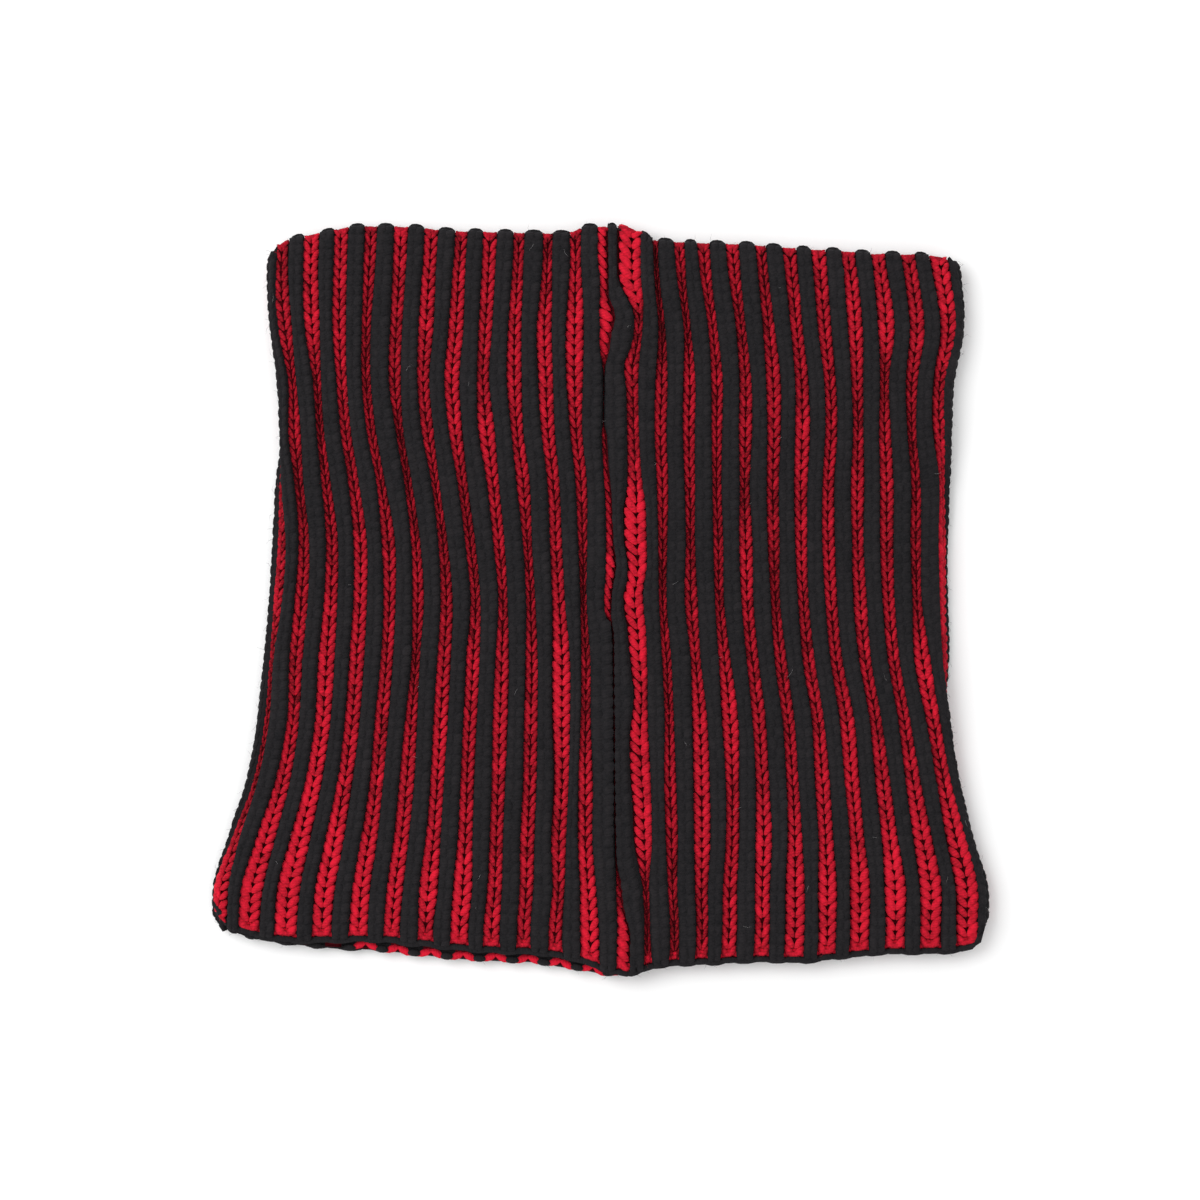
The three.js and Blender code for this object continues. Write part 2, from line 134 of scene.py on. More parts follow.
# Beside the seam, from the bottom up, in millimetres: the edges and the height of the half red column on its
# left, then of the wide red column on its right.
SEAM_COLUMNS = ("y", "half_left", "half_right", "half_rise", "wide_left", "wide_right", "wide_rise")
SEAM_TABLE = (
    (-142, 6.6, 11.4, -0.6, 17.1, 19.8, -2),
    (-136, 6.6, 11.6, -0.6, 17.1, 19.8, -2),
    (-130, 6.8, 11.8, -0.6, 17.1, 19.4, -2),
    (-126, 6.9, 11.2, -0.8, 17.1, 19.2, -2.1),
    (-122, 6.7, 10, -1.2, 17.1, 19.2, -2.3),
    (-118, 6.4, 9, -2.1, 16.9, 19.1, -2.3),
    (-110, 6.2, 8.6, -2.3, 16.4, 18.8, -2.1),
    (-106, 6.4, 7.4, -2.6, 15.6, 18.9, -1.7),
    (-101, 6.2, 6.4, -2.8, 14.6, 19.3, -1.3),
    (-97, 6.2, 6.4, -2.8, 13.7, 19.8, -1),
    (-92, 6.2, 6.4, -2.8, 12.9, 19.8, -0.9),
    (-77, 6, 6.2, -2.8, 12.5, 19.6, -0.8),
    (-69, 6, 6.2, -2.8, 11.7, 19.3, -0.8),
    (-58, 5.9, 6.1, -2.8, 11.4, 18.8, -0.8),
    (-52, 5.9, 6.1, -2.8, 11.3, 18.3, -0.8),
    (-42, 5.8, 6, -2.8, 12.7, 18.1, -0.9),
    (-35, 5.7, 5.9, -2.8, 13.2, 18.1, -0.9),
    (-30, 5.7, 5.9, -2.8, 12.3, 18.1, -0.9),
    (-23, 5.6, 5.8, -2.8, 11.6, 17.9, -0.8),
    (-14, 5.3, 5.5, -2.8, 10.7, 17.6, -0.8),
    (-9, 5, 5.2, -2.6, 10.4, 17.3, -0.7),
    (-7, 2.6, 3.9, -1.6, 10.2, 17, -0.7),
    (-5, 1.8, 4.4, -1.1, 9.2, 16.6, -0.6),
    (3, 1.8, 4.5, -1, 9.1, 16.4, -0.6),
    (5, 2.1, 4.9, -0.9, 10.3, 16.5, -0.6),
    (9, 2.5, 6, -0.7, 10.8, 17.2, -0.6),
    (13, 2.5, 6.4, -0.6, 10.8, 17.9, -0.5),
    (18, 2.5, 5.9, -0.8, 10.2, 17.9, -0.5),
    (21, 2.5, 5.3, -1.5, 9.3, 17.8, -0.4),
    (35, 2.3, 4.7, -1.8, 9, 17.5, -0.4),
    (39, 2.1, 4.5, -1.8, 9.8, 17.1, -0.6),
    (44, 1.8, 4.1, -1.8, 10.6, 16.4, -1),
    (50, 1.4, 3.4, -1.9, 10.6, 15.6, -1.4),
    (64, 0.7, 2.6, -2, 10.5, 14.9, -1.6),
    (68, 1.2, 1.4, -2.7, 10.4, 14.8, -1.6),
    (81, 1.4, 1.6, -2.8, 10.2, 14.6, -1.5),
    (87, 1.4, 1.6, -2.8, 9.2, 14.7, -1.4),
    (91, 1, 2.2, -2.5, 9.2, 14.9, -1.4),
    (94, 0.3, 3.2, -2.2, 10.9, 15.2, -1.5),
    (98, -0.2, 4, -2, 12.3, 15.6, -1.6),
    (102, -0.2, 4.2, -1.8, 13, 16, -1.8),
    (106, 0.4, 5.6, -1.3, 13.1, 16.4, -1.6),
    (109.5, -0.2, 6, -0.6, 13.6, 16.4, -1.2),
    (112.6, -0.2, 5.2, -0.8, 12.1, 16.4, -0.9),
    (115.7, 0.2, 3.3, -1.2, 10.6, 16.4, -0.7),
    (122, 0.2, 3.3, -1.1, 6.9, 15.6, -0.5),
    (125, 0.2, 3.3, -0.9, 6.7, 15.4, -0.4),
    (130, -0.6, 3.2, -0.6, 6.7, 15.2, -0.3),
    (145, -0.6, 2.9, -0.5, 6.7, 15.2, -0.2),
)
HALF_COLUMN = -1
HALF_COLUMN_WHOLE = 1.9  # how many times wider the whole column would be
HALF_COLUMN_SKEW = 0.4  # how far off its middle its toes lie, in half-widths
WIDE_COLUMN = 0
WIDE_COLUMN_SKEW = 0.15

# How wide the red columns of the front stand open between their ribs, from the bottom up, in millimetres.
OPENING_COLUMNS = ("y", *(f"l{n}" for n in range(12, 0, -1)), *(f"r{n}" for n in range(1, 12)))
OPENINGS = (
    (-125, 6.4, 7, 7.5, 6.5, 6.3, 5.3, 5, 6, 5.5, 4.5, 4.5, 6.3, 3, 4, 5, 5, 6.5, 6, 6.5, 6.5, 7, 7, 7),
    (-112, 6.4, 7.5, 8, 6.8, 6, 5.5, 6.3, 6.5, 5, 4.5, 4, 5.5, 3, 4.3, 4.8, 5, 6.5, 6.5, 7, 7.5, 7.5, 7.5, 7.5),
    (-93, 5, 6.5, 7, 6.3, 5.5, 5, 5, 5, 4.5, 4.8, 5, 4.8, 4, 5.5, 4.5, 5.5, 5, 5, 5, 5.5, 6.5, 6.5, 6),
    (-69, 3.6, 5, 5.5, 5, 4.5, 5, 4.5, 4.5, 4.5, 4.5, 5, 4.8, 4, 5.5, 4.5, 4.5, 4, 5, 5, 5, 5, 4.8, 4.5),
    (-46, 3.2, 4, 5.3, 5, 4.5, 4, 4.8, 4.5, 5, 4.5, 6, 3.3, 3, 5, 5.5, 4.5, 4, 4, 5, 4, 4, 4.5, 4),
    (-23, 3.6, 4.5, 5.5, 5, 4, 2.8, 4.5, 4.5, 4.5, 4, 6, 3, 3, 3.3, 4, 4, 4, 4, 4, 4, 4, 5.5, 4),
    (0, 4.2, 4.5, 4.5, 4.5, 4, 3.8, 4, 3.3, 3, 3, 4.3, 2, 2.5, 4.3, 3, 4, 3, 3.5, 4, 4.5, 4, 3, 3),
    (23, 4, 3.5, 4, 4.5, 4.5, 3, 3, 3.3, 3.8, 3, 4, 3, 3, 3, 3.3, 4.5, 4, 4, 4.3, 3.8, 4.5, 3.5, 3.5),
    (46, 4, 3, 3, 3.5, 2.8, 2.5, 2.5, 3.3, 4, 4.5, 4, 3.8, 3.8, 3.5, 3, 3.3, 4, 4.5, 4, 4.5, 4.5, 3, 3),
    (65, 4, 4, 2.5, 3.5, 3, 2.5, 4, 4.5, 5.5, 4, 4.5, 4, 4, 4, 3.5, 4.5, 4.5, 5, 4, 3.5, 4, 3, 4),
    (85, 4, 2.5, 2.8, 3.5, 3, 4, 4, 5, 4, 5, 5, 5.5, 4, 4, 3.8, 4, 5, 4.5, 4, 4, 3, 4, 3.8),
    (104, 4.5, 4.5, 5, 4.5, 3, 4, 5, 5, 4.5, 4.5, 5, 6, 2.3, 2.3, 3, 3.3, 4, 4, 4.5, 5, 5.5, 5, 5),
    (130, 4.5, 4.5, 5, 4.5, 4, 4.5, 4.5, 4, 4.5, 3.5, 3, 3.5, 1.5, 3.3, 4, 4.3, 3.3, 4.5, 4.8, 4.5, 4.5, 4.5, 6),
)
OPEN_MORE = 1.12  # how many times wider a column of loops is than the opening that it shows
# How the last red columns before the side folds differ from the table
FOLD_RIB_MORE = 1.3 * MM  # how much further the rib on the left fold comes over the last one on the left
LOW_LEFT_MORE = 1.2 * MM  # how much further right that one reaches, low down
LOW_LEFT_TOP = -90 * MM
HIGH_LEFT_LESS = 1.1 * MM  # how much narrower the one beside it is, high up
HIGH_LEFT = 115 * MM
LOW_RIGHT_LESS = 2.6 * MM  # how much narrower the last one on the right is, low down
LOW_RIGHT_TOP = -70 * MM
EDGE_FADE = 20 * MM  # over which these changes come in
WAIST = 12 * MM  # height about which the last one on each side reaches further right
WAIST_LEFT_MORE = 1.2 * MM
WAIST_LEFT_REACH = 26 * MM
WAIST_RIGHT_MORE = 2.2 * MM
WAIST_RIGHT_REACH = 30 * MM
BACK_RIB_WIDTH = 6.6 * MM


def columns_of(names, rows):
    """A table's columns by name, each in metres."""
    return dict(zip(names, np.array(rows, float).T * MM))


sections = columns_of(SECTION_COLUMNS, SECTIONS)
bottom_edge = columns_of(BOTTOM_COLUMNS, BOTTOM_EDGE)
top_edge = columns_of(TOP_COLUMNS, TOP_EDGE)
seam_table = columns_of(SEAM_COLUMNS, SEAM_TABLE)
front_openings = columns_of(OPENING_COLUMNS, OPENINGS)


def smooth_curve(places, values, at):
    """Values at some places of a smooth curve through a list of points, level past its ends."""
    at = np.clip(at, places[0], places[-1])
    slopes = np.gradient(values, places)
    i = np.clip(np.searchsorted(places, at, side="right") - 1, 0, len(places) - 2)
    step = places[i + 1] - places[i]
    t = (at - places[i]) / step
    start = (2 * t**3 - 3 * t**2 + 1) * values[i] + (t**3 - 2 * t**2 + t) * step * slopes[i]
    end = (3 * t**2 - 2 * t**3) * values[i + 1] + (t**3 - t**2) * step * slopes[i + 1]
    return start + end


def section(name, y):
    return smooth_curve(sections["y"], sections[name], y)


def beside_seam(name, y):
    return np.interp(y, seam_table["y"], seam_table[name])


# ----- The skin: where each wale and course lies, all the way round the flattened tube -----


def level_x(number, y):
    """Where a wale would lie at height y if the front went on level past its side folds."""
    lines = [section(name, y) for _, name in GUIDES]
    x = np.zeros(np.broadcast(number, y).shape)
    for i in range(len(GUIDES) - 1):
        first, last = GUIDES[i][0], GUIDES[i + 1][0]
        share = (number - first) / (last - first)
        line = lines[i] + (lines[i + 1] - lines[i]) * share
        x = line if i == 0 else np.where(number >= first, line, x)
    return x


def around(number, y):
    """(x of the middle of the turn, normal's x, normal's z) of a wale at height y, round both side folds."""
    number = (number + BACK_SPLIT) % REPEATS_ROUND - BACK_SPLIT
    on_left = number < -0.5
    round_out = BASE + CREST
    left_x = section("left", y) + round_out
    right_x = section("right", y) - round_out
    turn_length = math.pi * NEUTRAL_ROUND
    left_pitch = (section("l8", y) - section("l11", y)) / 3
    right_pitch = (section("r10", y) - section("r7", y)) / 3
    left_end = -12 + (left_x - turn_length - section("l11", y)) / left_pitch
    right_end = 10 + (right_x + turn_length - section("r10", y)) / right_pitch
    back_count = REPEATS_ROUND - (right_end - left_end)
    level = level_x(number, y)
    past = np.where(on_left, left_x - level, level - right_x)
    angle = np.clip(past / NEUTRAL_ROUND, 0, math.pi)
    fold_x = np.where(on_left, left_x, right_x)
    share = np.where(on_left, left_end - number, number - right_end) / back_count
    back_x = fold_x + np.where(on_left, 1, -1) * (right_x - left_x) * share
    x = np.where(past <= 0, level, np.where(angle < math.pi, fold_x, back_x))
    return x, np.where(on_left, -1, 1) * np.sin(angle), np.cos(angle)


def ends(number):
    """(lowest y, highest y) of a wale's outline, read at the furthest place it comes to at a side fold."""
    foot_x, foot_turn, foot_side = around(number, FOOT_Y)
    head_x, head_turn, head_side = around(number, HEAD_Y)
    foot_x = foot_x + foot_turn * (BASE + CREST)
    head_x = head_x + head_turn * (BASE + CREST)
    front = np.interp(foot_x, bottom_edge["x"], bottom_edge["front"])
    back = np.interp(foot_x, bottom_edge["x"], bottom_edge["back"])
    foot = back + (front - back) * (1 + foot_side) / 2
    head = np.interp(head_x, top_edge["x"], top_edge["y"]) - BACK_TOP_DROP * (1 - head_side) / 2
    return foot, head


def rolled_under(number):
    """How far the bound-off bar is rolled under the loops: most at the left fold."""
    off = (number - ROLLED_UNDER) / ROLLED_REACH
    return np.exp(-off * off)


def bar_depth(number):
    """How far above the outline the loops begin."""
    return BAR_DEPTH * (1 - ROLLED_SHARE * rolled_under(number))


def seam_lift(x, y, normal_z):
    """How much the turned-in side edges under the seam lift the front."""
    off = (x - section("seam", y)) / SEAM_LIFT_REACH
    return SEAM_LIFT * np.exp(-off * off) * np.clip(normal_z, 0, 1)


def skin(number, share, height=0.0, ending=None):
    """The point at some height over the skin, for a wale's number and a share of its length from the bottom.

    Its length is that of the wale numbered ending, if one is given.
    """
    foot, head = ends(number if ending is None else ending)
    low = foot + bar_depth(number) + FOOT_ROLL * math.sin(FOOT_ROLL_ANGLE)
    high = head - (TOP_ROLL + CREST) * math.sin(TOP_ROLL_ANGLE)
    straight = high - low
    foot_arc = FOOT_ROLL * FOOT_ROLL_ANGLE
    run = share * (foot_arc + straight + TOP_ROLL * TOP_ROLL_ANGLE) - foot_arc
    over = np.clip((run - straight) / TOP_ROLL, 0, None)
    under = np.clip(-run / FOOT_ROLL, 0, None)
    y = low + np.clip(run, 0, straight) + TOP_ROLL * np.sin(over) - FOOT_ROLL * np.sin(under)
    drop = TOP_ROLL * (1 - np.cos(over)) + FOOT_ROLL * (1 - np.cos(under))
    tilt = over - under
    x, normal_x, normal_z = around(number, y)
    out = BASE - drop + height * np.cos(tilt)
    z = MIDDLE_Z + normal_z * out + seam_lift(x, y, normal_z)
    return np.stack([x + normal_x * out, y + height * np.sin(tilt), z], axis=-1)


def inner_skin(number, share):
    """The same place on the layer's inner face, which stops a little short of the edges."""
    foot, head = ends(number)
    y = foot + INNER_FOOT + (head - foot - INNER_SHORT) * share
    x, normal_x, normal_z = around(number, y)
    z = MIDDLE_Z + normal_z * HOLLOW_HALF + seam_lift(x, y, normal_z)
    return np.stack([x + normal_x * HOLLOW_HALF, y, z], axis=-1)


def unit(v):
    return v / np.linalg.norm(v, axis=-1, keepdims=True)


def frame_on_skin(number, share, ending=None):
    """(origin, direction across the line, direction along it, direction out) for a line drawn on the skin."""
    step = 0.02
    origin = skin(number, share, ending=ending)
    along = unit(np.gradient(origin, axis=0))
    beside = skin(number + step, share, ending=ending) - skin(number - step, share, ending=ending)
    out = unit(np.cross(beside, along))
    return origin, np.cross(along, out), along, out


def step_width(number, y):
    """The distance from a wale to the line half a number on, at height y."""
    ends_of_step = []
    for line in (number, number + 0.5):
        x, normal_x, normal_z = around(line, y)
        ends_of_step.append(np.stack([x + normal_x * BASE, normal_z * BASE]))
    return np.linalg.norm(ends_of_step[1] - ends_of_step[0], axis=0)


def climbs(number, share):
    """How steeply the courses climb across a wale, at shares of its length: they follow both edges."""
    rise = np.array(ends(number + 0.25)) - np.array(ends(number - 0.25))
    low, high = np.clip(rise / step_width(number, np.array([FOOT_Y, HEAD_Y])), -STEEPEST, STEEPEST)
    return low + (high - low) * share


FIRST, LAST = -int(BACK_SPLIT), int(BACK_SPLIT)  # the red columns run from the first up to below the last
chance = np.random.default_rng(21)
DRIFT_KNOTS = 12
BACK_DRIFT = 0.45 * MM  # how far the edges of the back's red columns wander
back_drifts = {k: chance.normal(0, BACK_DRIFT, DRIFT_KNOTS) for k in range(FIRST, LAST)}
DRIFT_HEIGHTS = np.linspace(FOOT_Y, HEAD_Y, DRIFT_KNOTS)


def red_edges(k, y):
    """(number of the left edge, number of the right edge, width) of a red column at heights y."""
    before = step_width(k - 0.5, y)
    after = step_width(k, y)
    name = f"l{-k - 1}" if k < 0 else f"r{k}"
    if k in (HALF_COLUMN, WIDE_COLUMN):
        kind = "half" if k == HALF_COLUMN else "wide"
        middle = level_x(k, y)
        left = middle - beside_seam(f"{kind}_left", y)
        right = beside_seam(f"{kind}_right", y) - middle
    elif name in front_openings:
        left = right = OPEN_MORE * smooth_curve(front_openings["y"], front_openings[name], y) / 2
        if k == LAST_FRONT_LEFT:
            low = LOW_LEFT_MORE * np.clip((LOW_LEFT_TOP - y) / EDGE_FADE, 0, 1)
            left = left - FOLD_RIB_MORE
            right = right + low + WAIST_LEFT_MORE * np.exp(-(((y - WAIST) / WAIST_LEFT_REACH) ** 2))
        if k == LAST_FRONT_LEFT + 1:
            left = left - HIGH_LEFT_LESS * np.clip((y - HIGH_LEFT) / EDGE_FADE, 0, 1)
        if k == LAST_FRONT_RIGHT - 1:
            left = left - LOW_RIGHT_LESS * np.clip((LOW_RIGHT_TOP - y) / EDGE_FADE, 0, 1)
            right = right + WAIST_RIGHT_MORE * np.exp(-(((y - WAIST) / WAIST_RIGHT_REACH) ** 2))
    else:
        wander = smooth_curve(DRIFT_HEIGHTS, back_drifts[k], y)
        left = right = (before + after - BACK_RIB_WIDTH + wander) / 2
    return k - 0.5 * left / before, k + 0.5 * right / after, left + right


# ----- Meshes -----


def fill(data, field, values, kind):
    """Set one field of all the entries of some mesh data."""
    data.foreach_set(field, np.ascontiguousarray(values, kind).ravel())


def mesh_object(name, points, corners, sizes, materials, uv, shade, material_index=None):
    """A smooth mesh from points with their shade, and the corners of all faces in turn with their uv."""
    mesh = bpy.data.meshes.new(name)
    mesh.vertices.add(len(points))
    points = np.maximum(points, (-1, -1, 0))  # what lies on the table is pressed flat
    fill(mesh.vertices, "co", points, np.float32)
    mesh.loops.add(len(corners))
    fill(mesh.loops, "vertex_index", corners, np.int32)
    mesh.polygons.add(len(sizes))
    fill(mesh.polygons, "loop_start", np.concatenate([[0], np.cumsum(sizes)[:-1]]), np.int32)
    fill(mesh.polygons, "use_smooth", np.ones(len(sizes)), bool)
    for material in materials:
        mesh.materials.append(material)
    if material_index is not None:
        fill(mesh.polygons, "material_index", material_index, np.int32)
    mesh.update(calc_edges=True)
    fill(mesh.uv_layers.new(name="yarn").data, "uv", uv, np.float32)
    fill(mesh.attributes.new("shade", "FLOAT", "POINT").data, "value", shade, np.float32)
    made = bpy.data.objects.new(name, mesh)
    bpy.context.scene.collection.objects.link(made)
    return made


def bowed(t):
    """A bow from -1 at both ends of a leg to 0 at its middle."""
    return 4 * t * (1 - t) - 1


# A leg is one side of a knit loop: a closed lens of yarn. Its sections stand at these places along it.
LEG_SIDES = 6
LEG_PLACES = (0.0, 0.09, 0.34, 0.64, 0.91, 1.0)
LEG_GIRTHS = (0.0, 0.55, 1.0, 1.0, 0.6, 0.0)
LEG_POINTS = LEG_SIDES * (len(LEG_PLACES) - 2) + 2
FIBRE = 0.05 * MM  # half the thickness of a stray fibre
FIBRE_GIRTHS = (1.0, 0.8, 0.25)
# painted light: stray fibres get a light shade, as if they catch the light
FIBRE_SHADE = 0.9
FIBRE_CLEAR = 0.1 * MM  # fibres that come nearer to the table than this are left out
LEAN = 0.35 * MM  # the toe of a leg lies over the loop before it, and its other end under the loop after it


def leg_faces():
    """The leg's faces as corner lists, with each corner's (turn round the leg, place along it)."""
    faces = []
    places = LEG_PLACES[1:-1]
    last = len(places) - 1
    tail = LEG_SIDES * len(places)
    for s in range(LEG_SIDES):
        n = (s + 1) % LEG_SIDES
        here, there = s / LEG_SIDES, (s + 1) / LEG_SIDES
        middle = (here + there) / 2
        faces.append([(tail, middle, 0.0), (n, there, places[0]), (s, here, places[0])])
        for r in range(last):
            a, b = r * LEG_SIDES, (r + 1) * LEG_SIDES
            face = [(a + s, here, places[r]), (a + n, there, places[r])]
            face += [(b + n, there, places[r + 1]), (b + s, here, places[r + 1])]
            faces.append(face)
        top = last * LEG_SIDES
        faces.append([(top + s, here, places[last]), (top + n, there, places[last]), (tail + 1, middle, 1.0)])
    return faces


LEG_FACES = leg_faces()


def each(value, count):
    """A value for each of a count of legs."""
    return np.broadcast_to(np.asarray(value, float), (count,))


class Legs:
    """A growing set of legs that ends as one mesh."""

    def __init__(self):
        self.points = []
        self.shades = []
        self.lengths = []

    def add(self, sections, width, depth, shade):
        """Legs whose sections are given as (centres, directions across, directions out) at each place."""
        count = len(sections[0][0])
        width = each(width, count)[:, None]
        depth = each(depth, count)[:, None]
        rings = []
        for (centre, across, out), girth in zip(sections[1:-1], LEG_GIRTHS[1:-1]):
            for s in range(LEG_SIDES):
                turn = 2 * math.pi * (s + 0.5) / LEG_SIDES
                wide = across * (width * girth * math.cos(turn))
                rings.append(centre + wide + out * (depth * girth * math.sin(turn)))
        rings += [sections[0][0], sections[-1][0]]
        self.points.append(np.stack(rings, axis=1))
        self.shades.append(each(shade, count))
        self.lengths.append(np.linalg.norm(sections[-1][0] - sections[0][0], axis=1))

    def add_straight(self, axes, start, end, length, width, depth, arch, shade):
        """Legs along one direction of some axes, from start to end across it, bowed outward by arch."""
        origin, across, along, out = axes
        start, end, length = (each(value, len(origin)) for value in (start, end, length))
        sections = []
        for t in LEG_PLACES:
            side = across * (start + (end - start) * t)[:, None]
            centre = origin + side + along * ((t - 0.5) * length)[:, None] + out * (arch * bowed(t))
            sections.append((centre, across, out))
        self.add(sections, width, depth, shade)

    def fuzz(self, name, material, share, reach):
        """Stray fibres that stand off the outer sides of a share of the legs."""
        points = np.concatenate(self.points)
        legs = chance.choice(len(points), int(len(points) * share), replace=False)
        ring = chance.integers(1, 3, len(legs))[:, None] * LEG_SIDES
        loop = np.take_along_axis(points[legs], (ring + np.arange(LEG_SIDES))[:, :, None], axis=1)
        side = chance.integers(0, 3, len(legs))
        base = loop[np.arange(len(legs)), side]
        normal = unit(base - loop.mean(axis=1))
        sideways = unit(np.cross(normal, chance.normal(0, 1, normal.shape)))
        turned = unit(sideways + 0.8 * chance.normal(0, 1, normal.shape))
        long = reach * chance.uniform(0.5, 1.3, (len(legs), 1))
        lift = chance.uniform(0.15, 0.75, (len(legs), 1))
        first = unit(sideways + normal * lift)
        middle = base + first * long * 0.5
        tip = middle + unit(turned + normal * (lift - 0.35)) * long * 0.5
        line = np.stack([base - normal * 0.2 * MM, middle, tip], axis=1)
        thick = np.array(FIBRE_GIRTHS) * FIBRE
        other = np.cross(normal, first)
        corners = []
        for turn in (0, 2 * math.pi / 3, 4 * math.pi / 3):
            around_line = normal * math.cos(turn) + other * math.sin(turn)
            corners.append(line + around_line[:, None, :] * thick[None, :, None])
        fibres = np.stack(corners, axis=2).reshape(len(legs), 9, 3)
        fibres = fibres[fibres[:, :, 2].min(axis=1) > FIBRE_CLEAR]
        faces = []
        for low in (0, 3):
            for c in range(3):
                n = (c + 1) % 3
                faces.append((low + c, low + n, low + 3 + n, low + 3 + c))
        count = len(fibres)
        corners = (np.array(faces).ravel()[None, :] + np.arange(count)[:, None] * 9).ravel()
        uv = np.zeros((len(corners), 2))
        shade = np.full(count * 9, FIBRE_SHADE)
        return mesh_object(name, fibres.reshape(-1, 3), corners, np.full(6 * count, 4), [material], uv, shade)

    def build(self, name, material):
        """All the legs as one mesh object."""
        points = np.concatenate(self.points)
        count = len(points)
        template = np.array([corner for face in LEG_FACES for corner, _, _ in face])
        sizes = np.array([len(face) for face in LEG_FACES])
        corners = (template[None, :] + np.arange(count)[:, None] * LEG_POINTS).ravel()
        turn = np.array([u for face in LEG_FACES for _, u, _ in face])
        place = np.array([v for face in LEG_FACES for _, _, v in face])
        lengths = np.concatenate(self.lengths)
        uv = np.stack(np.broadcast_arrays(turn[None, :], place[None, :] * lengths[:, None] / MM), axis=-1)
        shade = np.repeat(np.concatenate(self.shades), LEG_POINTS)
        return mesh_object(
            name, points.reshape(-1, 3), corners, np.tile(sizes, count), [material], uv.reshape(-1, 2), shade
        )


# ----- Yarns -----


PLIES_ROUND = 2  # plies that are passed in one turn round a leg
PLIES_A_MILLIMETRE = 0.45  # turns that they make along it


def node(tree, kind, **inputs):
    """A node of a shader tree, to the right of the ones before it, with some of its inputs set."""
    made = tree.nodes.new(kind)
    made.location = (200 * len(tree.nodes), 0)
    for name, value in inputs.items():
        made.inputs[name].default_value = value
    return made


def yarn_group():
    """Twisted, slightly hairy yarn: its colour from dark to light, and the height of its plies and fibres."""
    tree = bpy.data.node_groups.new("twisted_yarn", "ShaderNodeTree")
    color, value = "NodeSocketColor", "NodeSocketFloat"
    for name, kind in (("Dark", color), ("Light", color), ("Plies", value)):
        tree.interface.new_socket(name=name, in_out="INPUT", socket_type=kind)
    for name, kind in (("Color", color), ("Height", value)):
        tree.interface.new_socket(name=name, in_out="OUTPUT", socket_type=kind)
    into = node(tree, "NodeGroupInput")
    out = node(tree, "NodeGroupOutput")
    link = tree.links.new

    uv = node(tree, "ShaderNodeUVMap")
    uv.uv_map = "yarn"
    split = node(tree, "ShaderNodeSeparateXYZ")
    link(uv.outputs["UV"], split.inputs[0])

    def worked_out(operation, first, second=None):
        made = node(tree, "ShaderNodeMath")
        made.operation = operation
        link(first, made.inputs[0])
        if second is not None:
            link(second, made.inputs[1])
        return made

    # Plies wind round the leg: the phase grows with the turn and with the length in millimetres.
    along = worked_out("MULTIPLY", split.outputs["Y"], into.outputs["Plies"])
    phase = worked_out("ADD", split.outputs["X"], along.outputs[0])
    angle = worked_out("MULTIPLY", phase.outputs[0])
    angle.inputs[1].default_value = PLIES_ROUND * 2 * math.pi
    wave = worked_out("SINE", angle.outputs[0])

    place = node(tree, "ShaderNodeTexCoord")
    shade = node(tree, "ShaderNodeAttribute")
    shade.attribute_name = "shade"
    # Fibres are streaks: fine round the leg, long along it, and different on each leg.
    streaks = node(tree, "ShaderNodeCombineXYZ")
    scaled = node(tree, "ShaderNodeVectorMath")
    scaled.operation = "MULTIPLY"
    scaled.inputs[1].default_value = (9.0, 1.3, 60.0)
    link(split.outputs["X"], streaks.inputs["X"])
    link(split.outputs["Y"], streaks.inputs["Y"])
    link(shade.outputs["Fac"], streaks.inputs["Z"])
    link(streaks.outputs[0], scaled.inputs[0])
    fibres = node(tree, "ShaderNodeTexNoise", Scale=1.0, Detail=3.0, Roughness=0.7)
    clouds = node(tree, "ShaderNodeTexNoise", Scale=520.0, Detail=3.0, Roughness=0.65)
    link(scaled.outputs[0], fibres.inputs["Vector"])
    link(place.outputs["Object"], clouds.inputs["Vector"])

    # Lightness: each leg's shade, which is its own tone with painted shade or painted light on some legs, then
    # slow clouds, fine fibres, and the plies, painted a little darker in the grooves between them where their
    # relief is low.
    def weighted(source, weight):
        made = worked_out("MULTIPLY_ADD", source)
        made.inputs[1].default_value = weight
        return made

    from_plies = weighted(wave.outputs[0], 0.07)
    from_fibres = weighted(fibres.outputs["Fac"], 1.0)
    from_clouds = weighted(clouds.outputs["Fac"], 1.2)
    from_shade = weighted(shade.outputs["Fac"], 1.0)
    from_fibres.inputs[2].default_value = -1.1
    link(from_fibres.outputs[0], from_clouds.inputs[2])
    link(from_clouds.outputs[0], from_shade.inputs[2])
    link(from_shade.outputs[0], from_plies.inputs[2])
    from_plies.use_clamp = True
    blend = node(tree, "ShaderNodeMix")
    blend.data_type = "RGBA"
    link(from_plies.outputs[0], blend.inputs["Factor"])
    link(into.outputs["Dark"], blend.inputs["A"])
    link(into.outputs["Light"], blend.inputs["B"])
    link(blend.outputs["Result"], out.inputs["Color"])

    relief = weighted(wave.outputs[0], 0.5)
    link(fibres.outputs["Fac"], relief.inputs[2])
    link(relief.outputs[0], out.inputs["Height"])
    return tree


TWISTED_YARN = yarn_group()


